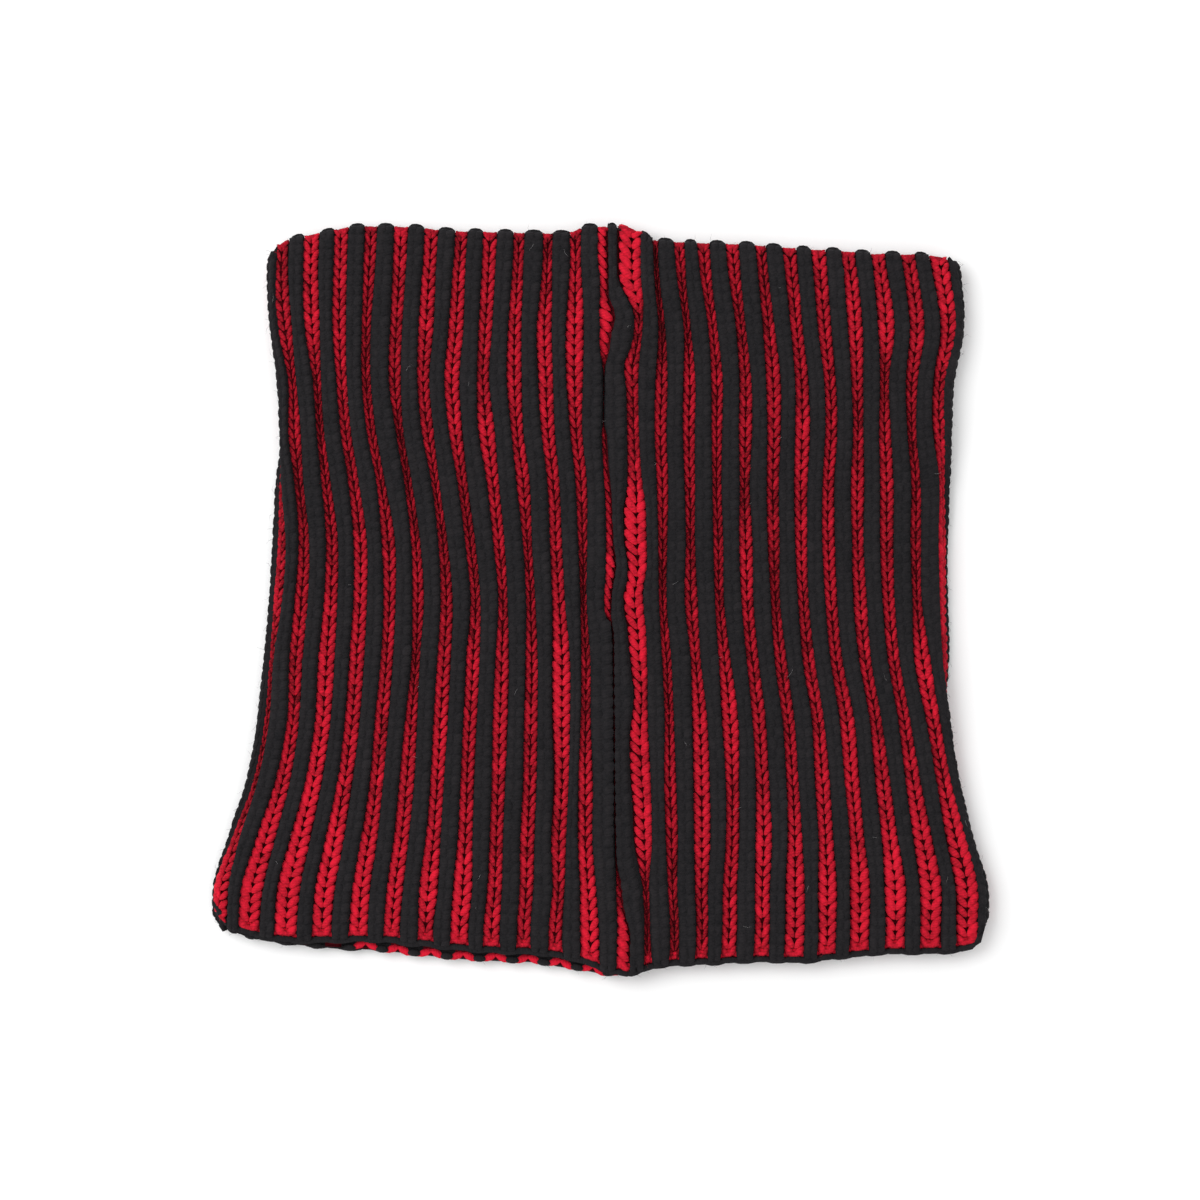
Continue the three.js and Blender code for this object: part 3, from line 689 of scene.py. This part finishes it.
def yarn_material(name, dark, light, relief, specular=0.12, sheen=0.0, sheen_tint=(1, 1, 1)):
    """A yarn in colours from dark to light, whose fibres stand out by relief."""
    material = bpy.data.materials.new(name)
    material.use_nodes = True
    tree = material.node_tree
    shader = tree.nodes["Principled BSDF"]
    yarn = node(tree, "ShaderNodeGroup")
    yarn.node_tree = TWISTED_YARN
    yarn.inputs["Dark"].default_value = (*dark, 1)
    yarn.inputs["Light"].default_value = (*light, 1)
    yarn.inputs["Plies"].default_value = PLIES_A_MILLIMETRE
    bump = node(tree, "ShaderNodeBump", Strength=relief, Distance=0.25 * MM)
    tree.links.new(yarn.outputs["Color"], shader.inputs["Base Color"])
    tree.links.new(yarn.outputs["Height"], bump.inputs["Height"])
    tree.links.new(bump.outputs["Normal"], shader.inputs["Normal"])
    shader.inputs["Roughness"].default_value = 0.95
    shader.inputs["Specular IOR Level"].default_value = specular
    shader.inputs["Sheen Weight"].default_value = sheen
    shader.inputs["Sheen Roughness"].default_value = 0.6
    shader.inputs["Sheen Tint"].default_value = (*sheen_tint, 1)
    return material


YARN = 0.35  # relief of yarn, and of the ground behind it
GROUND = 0.6
BLACK_YARN = yarn_material(
    "black_yarn", (0.007, 0.007, 0.008), (0.020, 0.0175, 0.019), YARN, sheen=0.02, sheen_tint=(0.6, 0.6, 0.7)
)
RED_YARN = yarn_material(
    "red_yarn", (0.07, 0.001, 0.003), (0.66, 0.01, 0.031), YARN, sheen=0.05, sheen_tint=(1, 0.3, 0.35)
)
BLACK_GROUND = yarn_material("black_ground", (0.01, 0.01, 0.011), (0.022, 0.02, 0.022), GROUND, specular=0.05)
LINT = yarn_material("lint", (0.12, 0.12, 0.12), (0.35, 0.34, 0.34), YARN, specular=0.1)
# painted shade: the ground under the red columns is red yarn painted much darker than the loops, for the shade
# in the holes between them
SHADED_RED_GROUND = yarn_material("shaded_red_ground", (0.045, 0.002, 0.005), (0.13, 0.005, 0.009), GROUND, specular=0.05)

# ----- Wales -----

RIB_FOOT = -0.0105  # ribs run on down over the bound-off edge to this share of their length
# Each kind of wale: the share of its length where it begins, its legs' half-width and their toe's place in
# half-widths of the wale, their depth, their length in courses, how far they go under the wale beside them
# and what each half-width adds to that, and the share of a loop's width that bends with a side fold.
RED = dict(foot=0.0, leg=0.45, toe=0.15, depth=0.95 * MM, lap=1.5, tuck=0.55 * MM, tuck_share=0.12, wrap=0.5)
BLACK = dict(foot=RIB_FOOT, leg=0.52, toe=0.27, depth=0.9 * MM, lap=1.6, tuck=0.0, tuck_share=0.0, wrap=1.0)
BOW = 1.3  # how quickly a leg bows out from its toe
ARCH = 0.3 * MM
EDGE_FOLLOWED = 0.35  # share of an edge's slope that a loop takes on from its own place on the skin

# Heights of the legs' middles over the skin
NARROW = 3.0 * MM  # the narrower a red column stands open, the deeper it lies
WIDE = 7.0 * MM
NARROW_RISE = -1.7 * MM
WIDE_RISE = -0.9 * MM
BLACK_RISE = CREST - 0.9 * MM
END_RISE = -0.2 * MM  # the red columns come up towards the top edge, and the ribs go down a little
END_SINK = 0.3 * MM
END_REACH = 0.03

PAINTED_VALLEY_SHADE = -0.06  # Painted shade and light on the red columns: one of this half-width is painted this much darker, as the narrow ones lie deep between their ribs, and wider ones lighter, by one for each spread
SHADE_WIDTH = 2.2 * MM
SHADE_SPREAD = 3.8 * MM
SHADE_RANGE = (-0.25, 0.3)

# How unevenly a wale's loops are knitted: in length and height up it, sideways, in depth, girth and shade
UNEVEN_LENGTH = 0.04
UNEVEN_PLACE = 0.0004
UNEVEN_SIDE = 0.07 * MM
UNEVEN_LIFT = 0.06 * MM
UNEVEN_GIRTH = 0.05
UNEVEN_SHADE = 0.08
WALE_WANDER = 0.1 * MM  # how far a whole wale wanders, and how much its shade drifts
WALE_DRIFT = 0.05

LAST_SHARE = 1.002  # where the ends of the last loops lie
LINE_SHARES = np.linspace(-0.024, 1.012, 104)


def on_line(values, share):
    """What values along LINE_SHARES are at other shares."""
    return np.interp(share, LINE_SHARES, values)


def drift(size):
    """A slow random wander of about the given size, for each course of one wale."""
    knots = chance.normal(0, size, DRIFT_KNOTS)
    return smooth_curve(np.linspace(0, 1, DRIFT_KNOTS), knots, np.linspace(0, 1, COURSES))


def wale(legs, kind, left, right, width, rise, sides=(-1, 1), skew=0.0):
    """One column of V-shaped loops up the skin between two edges, all given along LINE_SHARES."""
    foot = kind["foot"]
    lap = kind["lap"] / COURSES
    shares = foot + (np.arange(COURSES) + 0.5) / (COURSES - 0.5) * (LAST_SHARE - lap / 2 - foot)
    middle = (left + right) / 2
    _, level, line, _ = frame_on_skin(middle, LINE_SHARES)
    slant = np.abs(line[:, 1]) / np.hypot(line[:, 0], line[:, 1])
    step = slant * (right - left) / np.maximum(width, 0.1 * MM)
    wander = drift(WALE_WANDER)
    at_course = on_line(width, shares) / 2
    leg_width = kind["leg"] * at_course
    shade = 0.5 + drift(WALE_DRIFT)
    if kind is RED:
        # painted shade: narrow red columns are painted darker and wide ones lighter, for the shade deep between
        # the ribs
        shade = shade + PAINTED_VALLEY_SHADE + np.clip((at_course - SHADE_WIDTH) / SHADE_SPREAD, *SHADE_RANGE)
    for side in sides:
        jitter = chance.normal(0, 1, (5, COURSES))
        sections = []
        for t in LEG_PLACES:
            share = shares + (t - 0.5) * lap * (1 + UNEVEN_LENGTH * jitter[0]) + UNEVEN_PLACE * jitter[1]
            half = on_line(width * slant, share) / 2
            toe = kind["toe"] * half
            tuck = kind["tuck"] + kind["tuck_share"] * half
            reach = half * (1 - side * skew) + tuck - leg_width
            off = side * (toe + (reach - toe) * (1 - (1 - t) ** BOW)) + half * skew
            off = off + wander + UNEVEN_SIDE * jitter[2]
            lift = on_line(rise, share) + ARCH * bowed(t) + LEAN * (0.5 - t) + UNEVEN_LIFT * jitter[3]
            bent = off * kind["wrap"]
            straight = (off - bent)[:, None]
            number = on_line(middle, share)
            shift = bent * on_line(step, share)
            origin, across, _, out = frame_on_skin(number + shift, share, number + EDGE_FOLLOWED * shift)
            climb = straight * climbs(middle[0], share)[:, None]
            climb = (bent * on_line(level[:, 1], share))[:, None] + climb
            sections.append((origin + across * straight + NORTH * climb + out * lift[:, None], across, out))
        girth = leg_width * (1 + UNEVEN_GIRTH * jitter[4])
        legs.add(sections, girth, kind["depth"], shade + UNEVEN_SHADE * jitter[4])


# The loops across the ends of the wales: where along the wale they lie, how far they bow along it, how deep
# they lie under the other loops, and the share of the width that they leave free on each side.
RED_FOOT_LOOP = dict(share=0.002, bow=-0.5 * MM, radius=1.0 * MM, shade=0.6)
RED_HEAD_LOOP = dict(share=0.992, bow=0.0, radius=1.1 * MM, shade=0.4, sink=0.2 * MM, under=0.4 * MM)
RIB_FOOT_LOOP = dict(
    share=RIB_FOOT - 0.002, bow=-0.9 * MM, radius=1.4 * MM, shade=0.5, sink=0.1 * MM, inset=0.1
)
RIB_HEAD_LOOP = dict(share=0.988, bow=0.9 * MM, radius=1.5 * MM, shade=0.5, sink=0.7 * MM, inset=0.15)
FACING_SIDE = 0.1  # how far sideways a rib has to face at its head to get a loop across it


def end_loop(
    legs, kind, left, right, width, rise, *, share, bow, radius, shade, inset=0.0, sink=0.0, under=-0.1 * MM
):
    """A loop laid across the end of a wale, which reaches by under past its edges."""
    shares = share + np.array([-0.001, 0.0, 0.001])
    left, right = left + inset * (right - left), right - inset * (right - left)
    half = on_line(width, share) * (1 - 2 * inset) / 2
    lift = on_line(rise, share) - sink
    climb = climbs((left + right)[0] / 2, share)
    wrap = kind["wrap"]
    sections = []
    for t in LEG_PLACES:
        off = (2 * t - 1) * (1 + under / half)
        number = on_line((left + right + wrap * off * (right - left)) / 2, shares)
        origin, across, along, out = (v[1:2] for v in frame_on_skin(number, shares))
        straight = (1 - wrap) * off * half
        centre = origin + (across + NORTH * climb) * straight + along * (bow * bowed(t))
        sections.append((centre + out * lift, -along, out))
    legs.add(sections, radius, radius, shade)


def piece_of(number):
    if number < LAST_FRONT_LEFT or number > LAST_FRONT_RIGHT:
        return "back"
    return "front_left" if number < -0.5 else "front_right"


STRETCHES = ("front_left", "front_right", "back")
red_legs = {name: Legs() for name in STRETCHES}
black_legs = {name: Legs() for name in STRETCHES}


def red_column(k, left, right, width, heights, to_end):
    """The loops of one red column, and one across each of its ends."""
    legs = red_legs[piece_of(k)]
    depth = np.clip((width - NARROW) / (WIDE - NARROW), 0, 1)
    rise = NARROW_RISE + (WIDE_RISE - NARROW_RISE) * depth
    rise = rise + (END_RISE - rise) * to_end
    if k == HALF_COLUMN:
        rise = beside_seam("half_rise", heights)
        wale(legs, RED, left, right, width * HALF_COLUMN_WHOLE, rise, sides=(-1,), skew=HALF_COLUMN_SKEW)
    elif k == WIDE_COLUMN:
        rise = beside_seam("wide_rise", heights)
        wale(legs, RED, left, right, width, rise, skew=WIDE_COLUMN_SKEW)
    else:
        wale(legs, RED, left, right, width, rise)
    end_loop(legs, RED, left, right, width, rise, **RED_FOOT_LOOP)
    end_loop(legs, RED, left, right, width, rise, **RED_HEAD_LOOP)


def black_rib(number, left, right, heights, to_end):
    """The loops of one rib, one across its foot, and one across its head where it faces sideways."""
    legs = black_legs[piece_of(number)]
    width = step_width(left, heights) / 0.5 * (right - left)
    rise = BLACK_RISE - END_SINK * to_end
    wale(legs, BLACK, left, right, width, rise)
    end_loop(legs, BLACK, left, right, width, rise, **RIB_FOOT_LOOP)
    _, sideways, _ = around((left[-1] + right[-1]) / 2, HEAD_Y)
    if abs(sideways) > FACING_SIDE:
        end_loop(legs, BLACK, left, right, width, rise, **RIB_HEAD_LOOP)


def next_left(k, edges):
    """The left edge of the red column after k, going on round the tube."""
    if k + 1 < LAST:
        return edges[k + 1][0]
    return edges[FIRST][0] + REPEATS_ROUND


def knit():
    """All the wales round the tube; gives back the line of the seam along LINE_SHARES."""
    columns = range(FIRST, LAST)
    heights = {k: skin(k, LINE_SHARES)[:, 1] for k in columns}
    edges = {k: red_edges(k, heights[k]) for k in columns}
    to_end = np.clip(1 - (1 - LINE_SHARES) / END_REACH, 0, 1)
    for k in columns:
        red_column(k, *edges[k], heights[k], to_end)
        black_rib(k + 0.5, edges[k][1], next_left(k, edges), heights[k], to_end)
    return edges[HALF_COLUMN][1]


seam_line = knit()

pieces = {}


def add_piece(name, make, yarn, **how):
    """One made piece under its name, with its slot in the record."""
    pieces[name] = (make(name, yarn, **how), "red_yarn" if yarn is RED_YARN else "black_yarn")


for stretch in STRETCHES:
    black, red = black_legs[stretch], red_legs[stretch]
    add_piece(f"{stretch}_ribs", black.build, BLACK_YARN)
    add_piece(f"{stretch}_red_columns", red.build, RED_YARN)
    add_piece(f"{stretch}_black_fuzz", black.fuzz, BLACK_YARN, share=0.9, reach=3.2 * MM)
    add_piece(f"{stretch}_lint", black.fuzz, LINT, share=0.012, reach=3.6 * MM)
    add_piece(f"{stretch}_red_fuzz", red.fuzz, RED_YARN, share=0.45, reach=1.8 * MM)

# ----- Bound-off edge and seam yarn -----

BAR_OFF = 2.0 * MM  # from the middle plane to the middle of the bound-off bar
BAR_OUT = 1.0 * MM  # how much further out it lies round a side fold
BAR_RISE = 2.1 * MM  # of its middle over the outline
BAR_SAG = 0.4 * MM  # how much lower it lies under the ribs
BAR_LAP = 0.85  # length of one of its loops in wales
BAR_WIDTH = 1.3 * MM
BAR_THICKNESS = 1.1 * MM
RIM_OFF = 1.1 * MM  # from the middle plane to the middle of the red loops on the bar's inner side
RIM_RISE = 2.3 * MM  # of those loops over the outline
RIM_TUCK = 2.5 * MM  # how much higher they hide on the front, and on the back left of a place
RIM_HIDDEN = -86 * MM
RIM_HIDING = 16 * MM
RIM_LOOP = dict(length=6.6 * MM, width=1.7 * MM, depth=1.0 * MM, arch=0.0)
RIM_SLANT = 1.1 * MM
RIM_PAIR = 0.185  # from a red column's middle to each loop of its pair, in wales
SEAM_DEPTH = 2.2 * MM  # from the skin down to the yarn that laces the seam


def rim_axes(number, rise, off):
    """Axes on the bottom rim: (origin, direction to the foot, direction along the rim, direction out)."""

    def rim(at):
        y = ends(at)[0] + rise + ROLLED_UP * rolled_under(at)
        x, normal_x, normal_z = around(at, y)
        reach = off + BAR_OUT * np.abs(normal_x) * (1 - ROLLED_IN * rolled_under(at))
        z = MIDDLE_Z + normal_z * reach + seam_lift(x, y, normal_z)
        return np.stack([x + normal_x * reach, y, z], axis=-1), np.stack([normal_x, 0 * x, normal_z], axis=-1)

    origin, out = rim(number)
    edge = unit(rim(number + 0.02)[0] - rim(number - 0.02)[0])
    out = unit(out - edge * np.sum(out * edge, axis=-1, keepdims=True))
    return origin, np.cross(edge, out), edge, out


def bound_off(first, last):
    """A bar of overlapping loops along the rim from first to last, fuller and lower under the ribs."""
    legs = Legs()
    numbers = np.arange(first, last, 0.5)
    rib = np.where(numbers % 1 == 0, 0.0, 1.0)
    jitter = chance.normal(0, 1, (3, len(numbers)))
    size = 1 + 0.12 * rib + 0.04 * jitter[1]
    sections = []
    for t in LEG_PLACES:
        origin, down, _, out = rim_axes(numbers + (t - 0.5) * BAR_LAP, BAR_RISE - BAR_SAG * rib, BAR_OFF)
        arch = 0.1 * MM * bowed(t)
        sections.append((origin + down * (0.1 * MM * jitter[0])[:, None] + out * arch, down, out))
    legs.add(sections, BAR_WIDTH * size, BAR_THICKNESS, 0.45 + 0.06 * jitter[2])
    return legs


def rim_loops(first, last):
    """Pairs of slanting red loops on the inner side of the rim, under the red columns from first to last."""
    legs = Legs()
    numbers = np.arange(first, last)
    for side in (-1, 1):
        jitter = chance.normal(0, 1, (2, len(numbers)))
        x, _, _ = around(numbers, FOOT_Y)
        hidden = np.clip((RIM_HIDDEN - x) / RIM_HIDING, 0, 1) if first >= LAST_FRONT_RIGHT else 1
        rise = RIM_RISE + RIM_TUCK * hidden + 0.1 * MM * jitter[0]
        axes = rim_axes(numbers + RIM_PAIR * side, rise, RIM_OFF)
        fall = RIM_SLANT * side
        # painted light: these loops lie in the shadow of the bound-off bar and are given a lighter shade than
        # the other legs
        legs.add_straight(axes, -fall, fall, shade=1.0 + 0.08 * jitter[1], **RIM_LOOP)
    return legs


def seam_yarn():
    """Short stitches that lace the two side edges together at the bottom of the groove."""
    legs = Legs()
    shares = (np.arange(COURSES) + 0.5) / COURSES
    origin, across, along, out = frame_on_skin(on_line(seam_line, shares), shares)
    axes = (origin - out * SEAM_DEPTH, across, along, out)
    size = dict(length=5.0 * MM, width=0.5 * MM, depth=0.5 * MM, arch=0.1 * MM)
    legs.add_straight(axes, start=0.1 * MM, end=0.3 * MM, shade=0.4, **size)
    return legs


bars = {
    "bind_off_front_left": (-12.5, -0.5),
    "bind_off_front_right": (-0.5, LAST_FRONT_RIGHT),
    "bind_off_back": (LAST_FRONT_RIGHT, REPEATS_ROUND - 12.5),
}
for name, (first, last) in bars.items():
    add_piece(f"{name}_chain", bound_off(first, last).build, BLACK_YARN)
rims = {
    "front_left": (-12, 0),
    "front_right": (0, LAST_FRONT_RIGHT),
    "back": (LAST_FRONT_RIGHT, REPEATS_ROUND - 12),
}
for stretch, (first, last) in rims.items():
    add_piece(f"{stretch}_rim_loops", rim_loops(first, last).build, RED_YARN)
add_piece("seam_lacing", seam_yarn().build, BLACK_YARN)

# ----- Ground of the knitted panel -----

GROUND_ROWS = 72
GROUND_LENGTH = 290  # from foot to head in millimetres, for the direction of its yarn
GROUND_SHADE = 0.45
VALLEY_HEIGHT = -2.4 * MM
LEAST_VALLEY = 0.25 * MM  # width that a valley keeps, and about what two repeats measure
TWO_REPEATS = 22 * MM
# A rib's section from its left edge to its right: place across it in half-widths, and height over the skin.
RIB_SECTION = ((-1, -1.7), (-0.9, 0.1), (-0.55, 1.0), (0, 1.25), (0.55, 1.0), (0.9, 0.1), (1, -1.7))


def ground_lines(shares):
    """(numbers, heights, red) of the lines up the ground's outer face, in columns round the tube."""
    numbers, heights, red = [], [], []
    edges = {}
    for k in range(FIRST, LAST):
        y = skin(k, shares)[:, 1]
        left, right, width = red_edges(k, y)
        spare = np.clip(LEAST_VALLEY - width, 0, None) / TWO_REPEATS
        edges[k] = (left - spare, right + spare)
    for k in range(FIRST, LAST):
        left, right = edges[k]
        end = next_left(k, edges)
        numbers.append((left + right) / 2)
        heights.append(VALLEY_HEIGHT)
        red.append(1)
        for place, height in RIB_SECTION:
            numbers.append((right + end) / 2 + place * (end - right) / 2)
            heights.append(height * MM)
            red.append(0)
        red[-1] = 1
    return np.stack(numbers, axis=1), np.array(heights), np.array(red)


def knitted_ground():
    """The closed shell behind the loops: ribbed outside, smooth inside, open at both ends of the tube."""
    shares = np.linspace(RIB_FOOT, 1, GROUND_ROWS)
    number, height, red = ground_lines(shares)
    share = np.broadcast_to(shares[:, None], number.shape)
    outer = skin(number, share, height[None, :])
    inner = inner_skin(number, np.linspace(0, 1, GROUND_ROWS)[:, None])
    points = np.concatenate([outer.reshape(-1, 3), inner.reshape(-1, 3)])
    rows, wide = number.shape
    r, i = np.meshgrid(np.arange(rows - 1), np.arange(wide), indexing="ij")
    n = (i + 1) % wide

    def at(row, column, face):
        return (face * rows + row) * wide + column

    def quads(*corners):
        return np.stack(corners, axis=-1).reshape(-1, 4)

    outside = quads(at(r, i, 0), at(r, n, 0), at(r + 1, n, 0), at(r + 1, i, 0))
    inside = quads(at(r, i, 1), at(r + 1, i, 1), at(r + 1, n, 1), at(r, n, 1))
    i = np.arange(wide)
    n = (i + 1) % wide
    low = quads(at(0, i, 0), at(0, i, 1), at(0, n, 1), at(0, n, 0))
    top = rows - 1
    high = quads(at(top, i, 0), at(top, n, 0), at(top, n, 1), at(top, i, 1))
    faces = np.concatenate([outside, inside, low, high])
    # faces under the red columns take the red ground with its painted shade
    index = np.concatenate([np.tile(red, rows - 1), np.tile(red, rows - 1), red, red])
    uv = np.stack([number, share * GROUND_LENGTH], axis=-1).reshape(-1, 2)
    uv = np.concatenate([uv, uv])[faces.ravel()]
    shade = np.full(len(points), GROUND_SHADE)
    sizes = np.full(len(faces), 4)
    materials = [BLACK_GROUND, SHADED_RED_GROUND]
    return mesh_object("knitted_ground", points, faces.ravel(), sizes, materials, uv, shade, index)


ground = knitted_ground()
pieces["knitted_ground"] = (ground, "knit_panel")

# ----- Stage, light and camera -----

VIEW_WIDTH = 0.462  # what the camera takes in from side to side at the top of the garment


def stage():
    bpy.ops.mesh.primitive_plane_add(size=30, location=(0, 0, -0.05 * MM))
    floor = bpy.context.object
    floor.name = "floor"
    material = bpy.data.materials.new("pale_floor")
    material.use_nodes = True
    shader = material.node_tree.nodes["Principled BSDF"]
    shader.inputs["Base Color"].default_value = (0.94, 0.94, 0.94, 1)
    shader.inputs["Roughness"].default_value = 0.9
    floor.data.materials.append(material)


def area_light(name, place, size, power):
    light = bpy.data.lights.new(name, "AREA")
    light.size = size
    light.energy = power
    lamp = bpy.data.objects.new(name, light)
    lamp.location = place
    lamp.rotation_euler = (-Vector(place)).to_track_quat("-Z", "Y").to_euler()
    bpy.context.scene.collection.objects.link(lamp)


def lights():
    world = bpy.data.worlds.new("studio")
    world.use_nodes = True
    background = world.node_tree.nodes["Background"]
    background.inputs["Color"].default_value = (1, 1, 1, 1)
    background.inputs["Strength"].default_value = 0.87
    bpy.context.scene.world = world
    area_light("key", place=(-0.9, 0.5, 1.2), size=1.1, power=14.5)


def camera():
    """A long lens straight above the garment."""
    data = bpy.data.cameras.new("camera")
    data.lens = 85
    data.sensor_width = 36
    made = bpy.data.objects.new("camera", data)
    made.location = (0, 0, CREST + MIDDLE_Z + VIEW_WIDTH * data.lens / data.sensor_width)
    bpy.context.scene.collection.objects.link(made)
    bpy.context.scene.camera = made


stage()
lights()
camera()
bpy.context.scene.view_settings.view_transform = "Standard"

# ----- Pieces attached to the root body, with the imported parts that they stand in for hidden -----

for piece, slot in pieces.values():
    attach(piece, "root")

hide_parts("front_left", "front_right", "back")
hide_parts("seam_yarn")
for name in bars:
    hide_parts(name)
